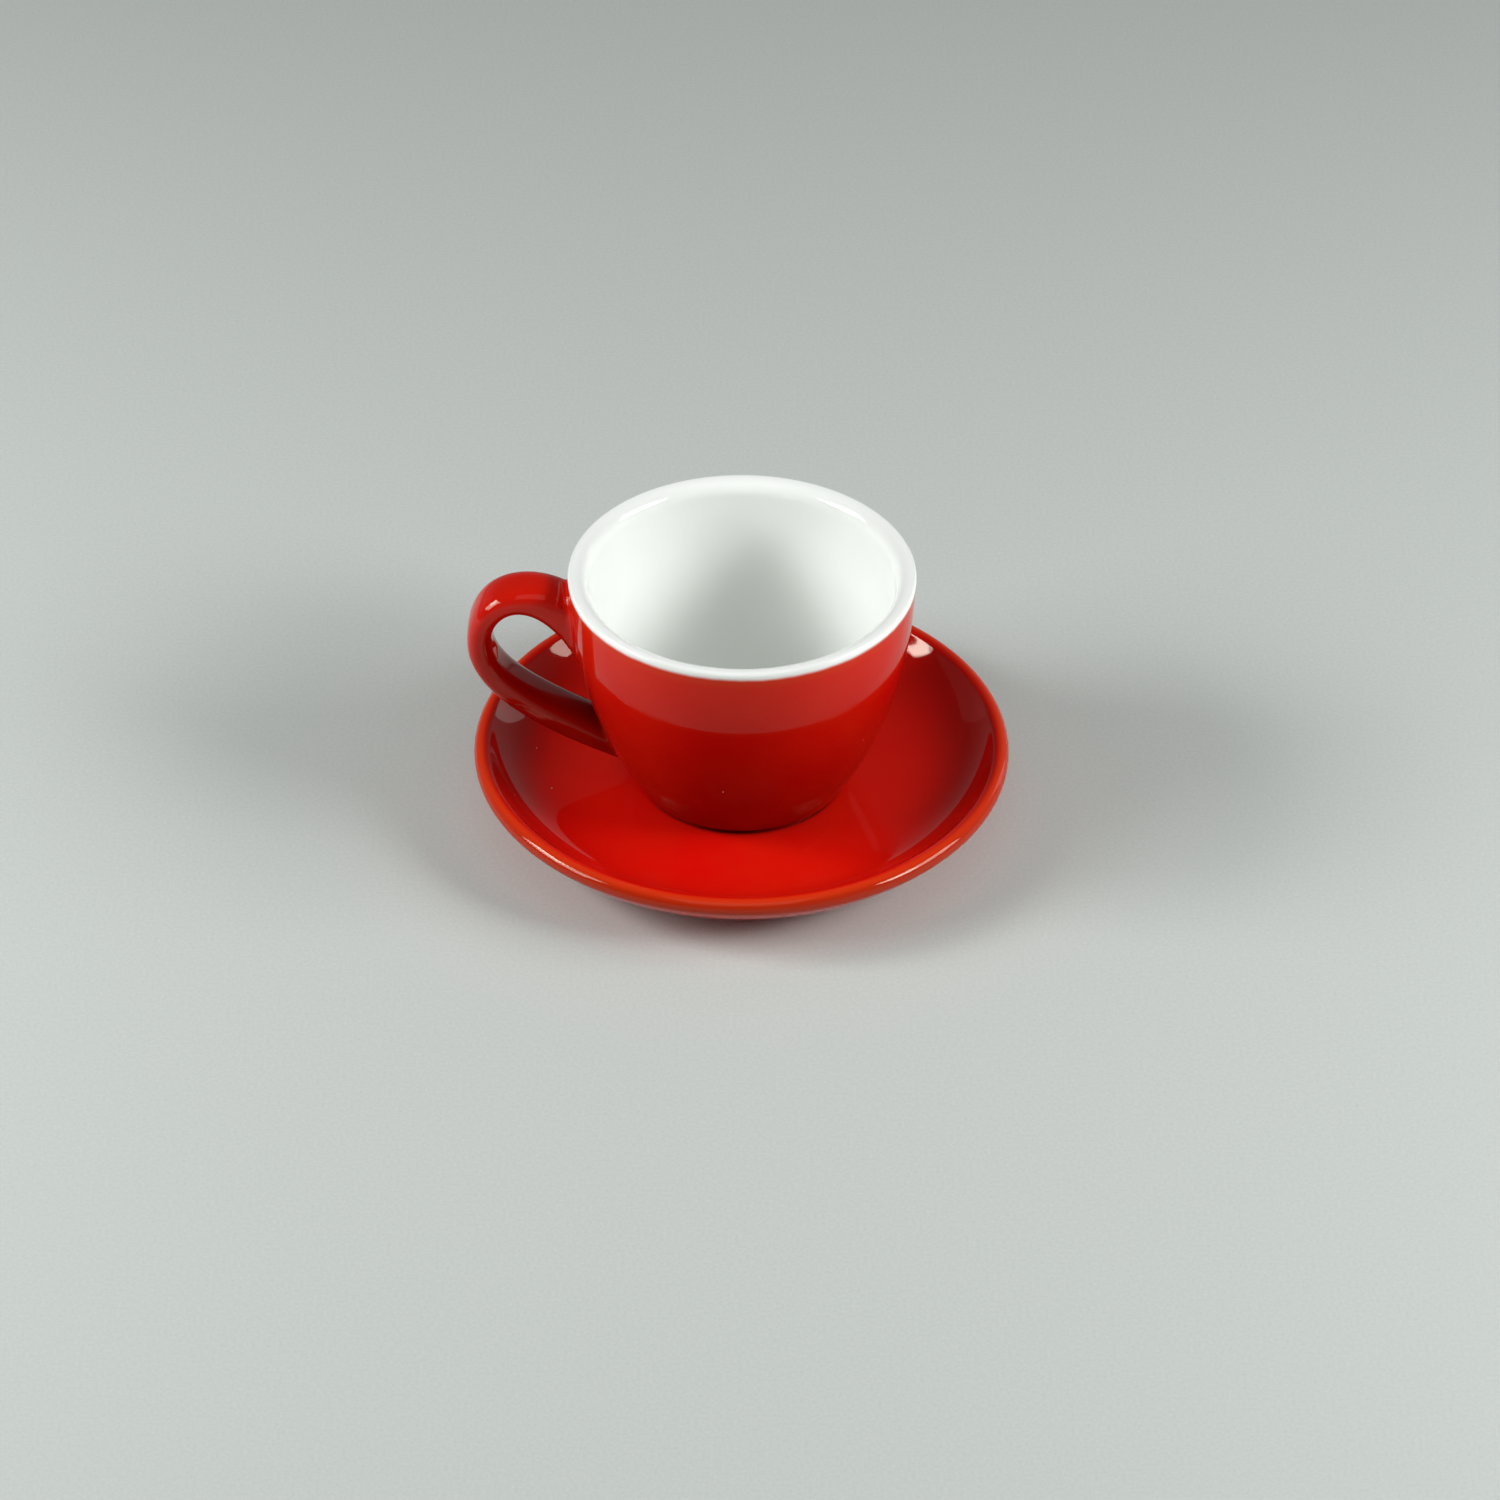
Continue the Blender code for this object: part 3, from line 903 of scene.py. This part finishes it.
def handle_edge(cup, handle, root_drop, root_pull, far, far_pull, foot_pull, foot_rise):
    """One edge of the handle in its own plane, as (distance from the cup's axis, height) points."""
    root_height = cup.height - root_drop
    root = Vector((wall_radius(cup, root_height) - handle.sink, root_height))
    root_handle = Vector((cup.lip_radius + root_pull[0], cup.height - root_pull[1]))
    farthest = Vector((cup.lip_radius + far[0], cup.height - far[1]))
    above = farthest + Vector((0.0, far_pull[0]))
    below = farthest - Vector((0.0, far_pull[1]))
    foot_handle = Vector((cup.lip_radius + foot_pull[0], foot_pull[1]))
    foot = Vector((wall_radius(cup, foot_rise) - handle.sink, foot_rise))
    upper = interpolate_bezier(root, root_handle, above, farthest, HANDLE_STATIONS)
    lower = interpolate_bezier(farthest, below, foot_handle, foot, HANDLE_STATIONS)
    return upper + lower[1:]


def handle_sections(cup, handle):
    """Rings of points along the strap: rounder on its outer side, flatter where the finger goes."""
    outer = handle_edge(
        cup,
        handle,
        handle.outer_root_drop,
        handle.outer_root_pull,
        handle.outer_far,
        handle.outer_far_pull,
        handle.outer_foot_pull,
        handle.outer_foot_rise,
    )
    inner = handle_edge(
        cup,
        handle,
        handle.inner_root_drop,
        handle.inner_root_pull,
        handle.inner_far,
        handle.inner_far_pull,
        handle.inner_foot_pull,
        handle.inner_foot_rise,
    )
    sections = []
    for index, (far_side, near_side) in enumerate(zip(outer, inner)):
        widest = near_side.lerp(far_side, 0.5)
        from_middle = abs(2 * index / (len(outer) - 1) - 1)
        half_width = (handle.width + handle.root_flare * from_middle**FLARE_POWER) / 2
        ring = []
        for side in range(HANDLE_SIDES):
            angle = math.tau * side / HANDLE_SIDES
            outside = math.sin(angle) > 0
            power = 2 / (handle.outer_roundness if outside else handle.inner_roundness)
            across = math.copysign(abs(math.cos(angle)) ** power, math.cos(angle))
            point = widest.lerp(far_side if outside else near_side, abs(math.sin(angle)) ** power)
            ring.append(Vector((-point.x, half_width * across, point.y)))
        sections.append(ring)
    return sections


def leaving(cup, line, clearance):
    """Where a line of points that starts inside the wall first stands clear of it, and the next index."""
    for index, (first, second) in enumerate(zip(line, line[1:])):
        short = clearance - wall_clearance(cup, first)
        past = wall_clearance(cup, second) - clearance
        if short > 0 <= past:
            return index + 1, first.lerp(second, short / (short + past))
    raise RuntimeError("The handle doesn't leave the wall")


def joint_curves(cup, lines, reach):
    """For each line, the smoothed joint from just under the wall's face out to the strap."""
    feet = [leaving(cup, line, 0.0)[1] for line in lines]
    centre = sum(feet, Vector()) / len(feet)
    curves = []
    for side, (line, foot) in enumerate(zip(lines, feet)):
        index, start = leaving(cup, line, reach)
        along = feet[(side + 1) % len(feet)] - feet[side - 1]
        away = along.cross(wall_normal(cup, foot)).normalized()
        if away.dot(foot - centre) < 0:
            away.negate()
        end = on_wall(cup, foot + away * reach)
        beyond = on_wall(cup, end + away * JOINT_RUN)
        normal = wall_normal(cup, beyond)
        curve = [beyond - normal * JOINT_SINK, beyond - normal * JOINT_SKIN]
        for step in range(JOINT_STEPS + 1):
            share = step / JOINT_STEPS
            curve.append(end.lerp(foot, share).lerp(foot.lerp(start, share), share))
        curves.append((curve, index))
    return curves


def resampled(points, count):
    """Points spaced evenly along a line, with its two ends."""
    marks = [0.0]
    for first, second in zip(points, points[1:]):
        marks.append(marks[-1] + (second - first).length)
    spaced = []
    index = 0
    for step in range(count + 1):
        mark = marks[-1] * step / count
        while index < len(marks) - 2 and marks[index + 1] < mark:
            index += 1
        share = (mark - marks[index]) / (marks[index + 1] - marks[index])
        spaced.append(points[index].lerp(points[index + 1], share))
    return spaced


class COFFEECUP_OT_handle(bpy.types.Operator):
    """Loft the ear-shaped strap handle and smooth its joints with the wall"""

    bl_idname = "coffee_cup.handle"
    bl_label = "Handle"

    def execute(self, context):
        cup = context.scene.coffee_cup.cup
        handle = context.scene.coffee_cup.handle
        lines = list(zip(*handle_sections(cup, handle)))
        upper = joint_curves(cup, lines, handle.upper_fillet)
        lower = joint_curves(cup, [line[::-1] for line in lines], handle.lower_fillet)
        smoothed = []
        for line, (top, skip), (bottom, leave) in zip(lines, upper, lower):
            strap = [top[-1], *line[skip : len(line) - leave], bottom[-1]]
            smoothed.append(top[:-1] + resampled(strap, 2 * HANDLE_STATIONS) + bottom[-2::-1])
        shape = bmesh.new()
        rings = [[shape.verts.new(point) for point in ring] for ring in zip(*smoothed)]
        for first, second in zip(rings, rings[1:]):
            for side in range(HANDLE_SIDES):
                following = (side + 1) % HANDLE_SIDES
                shape.faces.new((first[side], first[following], second[following], second[side]))
        shape.faces.new(rings[0])
        shape.faces.new(rings[-1])
        # The handle's red gets painted shade, darker towards its lower root
        material = red_glaze("glossy red glaze on a handle", HANDLE_SHADE_HEIGHT * cup.height)[0]
        piece = new_piece("strap_handle", shape, material)
        piece.location.z = cup.rest_height
        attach(piece, "cup")
        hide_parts("cup_handle")
        return {"FINISHED"}


def set_camera(scene):
    """Look down on the saucer from the front, as in the photograph."""
    camera_data = bpy.data.cameras.new("camera")
    camera_data.sensor_width = CAMERA_SENSOR
    camera_data.lens = CAMERA_LENS
    camera = bpy.data.objects.new("camera", camera_data)
    scene.collection.objects.link(camera)
    scene.camera = camera
    forward = Vector((0.0, math.cos(CAMERA_PITCH), -math.sin(CAMERA_PITCH)))
    level_right = Vector((1.0, 0.0, 0.0))
    level_up = level_right.cross(forward)
    right = level_right * math.cos(CAMERA_ROLL) + level_up * math.sin(CAMERA_ROLL)
    up = level_up * math.cos(CAMERA_ROLL) - level_right * math.sin(CAMERA_ROLL)
    rotation = Matrix((right, up, -forward)).transposed().to_4x4()
    camera.matrix_world = Matrix.Translation(CAMERA_AIM - forward * CAMERA_DISTANCE) @ rotation


def hang_softboxes(scene):
    """Hang the soft lights, each facing the object."""
    aim = Vector((0.0, 0.0, LIGHT_AIM_HEIGHT))
    for name, azimuth, elevation, distance, width, height, radiance in SOFTBOXES:
        bearing = math.radians(azimuth)
        rise = math.radians(elevation)
        towards = Vector(
            (math.sin(bearing) * math.cos(rise), math.cos(bearing) * math.cos(rise), math.sin(rise))
        )
        lamp = bpy.data.lights.new(name, "AREA")
        lamp.shape = "RECTANGLE"
        lamp.size = width
        lamp.size_y = height
        lamp.energy = radiance * width * height * math.pi
        light = bpy.data.objects.new(name, lamp)
        scene.collection.objects.link(light)
        light.location = aim + towards * distance
        light.rotation_euler = (-towards).to_track_quat("-Z", "Y").to_euler()


def light_room(scene):
    """Fill in with the grey light of a room."""
    world = bpy.data.worlds.new("studio")
    world.use_nodes = True
    scene.world = world
    tree = world.node_tree
    direction = add_node(tree, "ShaderNodeTexCoord").outputs["Generated"]
    height = add_node(
        tree, "ShaderNodeVectorMath", {"operation": "DOT_PRODUCT", 1: ROOM_UP}, {0: direction}
    )
    room = add_node(tree, "ShaderNodeValToRGB", {}, {"Fac": height.outputs["Value"]})
    for stop, (position, grey) in zip(room.color_ramp.elements, (ROOM_LOW, ROOM_HIGH)):
        stop.position = position
        stop.color = (grey, grey, grey, 1.0)
    tree.links.new(room.outputs["Color"], tree.nodes["Background"].inputs["Color"])


class COFFEECUP_OT_stage(bpy.types.Operator):
    """Set up the grey table, the soft lights and the camera"""

    bl_idname = "coffee_cup.stage"
    bl_label = "Studio Stage"

    def execute(self, context):
        scene = context.scene
        scene.view_settings.view_transform = "Standard"
        shape = bmesh.new()
        bmesh.ops.create_grid(shape, x_segments=2, y_segments=2, size=TABLE_REACH)
        table = new_piece("table", shape, table_top(scene.coffee_cup.stage))
        set_camera(scene)
        hang_softboxes(scene)
        light_room(scene)
        return {"FINISHED"}


class COFFEECUP_PT_pieces(bpy.types.Panel):
    """Buttons for the pieces, and the sizes and colours that they are made from"""

    bl_label = "Coffee Cup with Saucer"
    bl_idname = "COFFEECUP_PT_pieces"
    bl_space_type = "VIEW_3D"
    bl_region_type = "UI"
    bl_category = "Coffee Cup"

    def draw(self, context):
        for operator in OPERATORS:
            self.layout.operator(operator.bl_idname)
        settings = context.scene.coffee_cup
        for group in (settings.saucer, settings.cup, settings.handle, settings.glaze, settings.stage):
            box = self.layout.box()
            for name in group.__annotations__:
                box.prop(group, name)


SETTINGS = (
    SaucerSettings,
    CupSettings,
    HandleSettings,
    GlazeSettings,
    StageSettings,
    CoffeeCupSettings,
)
OPERATORS = (
    COFFEECUP_OT_saucer,
    COFFEECUP_OT_bowl,
    COFFEECUP_OT_coat,
    COFFEECUP_OT_handle,
    COFFEECUP_OT_stage,
)
CLASSES = SETTINGS + OPERATORS + (COFFEECUP_PT_pieces,)


def register():
    for cls in CLASSES:
        bpy.utils.register_class(cls)
    bpy.types.Scene.coffee_cup = PointerProperty(
        name="Coffee Cup", description="Sizes and colours of the cup and its saucer", type=CoffeeCupSettings
    )


def unregister():
    del bpy.types.Scene.coffee_cup
    for cls in reversed(CLASSES):
        bpy.utils.unregister_class(cls)


def main():
    register()
    bpy.ops.coffee_cup.saucer()
    bpy.ops.coffee_cup.bowl()
    bpy.ops.coffee_cup.coat()
    bpy.ops.coffee_cup.handle()
    bpy.ops.coffee_cup.stage()


if __name__ == "__main__":
    main()
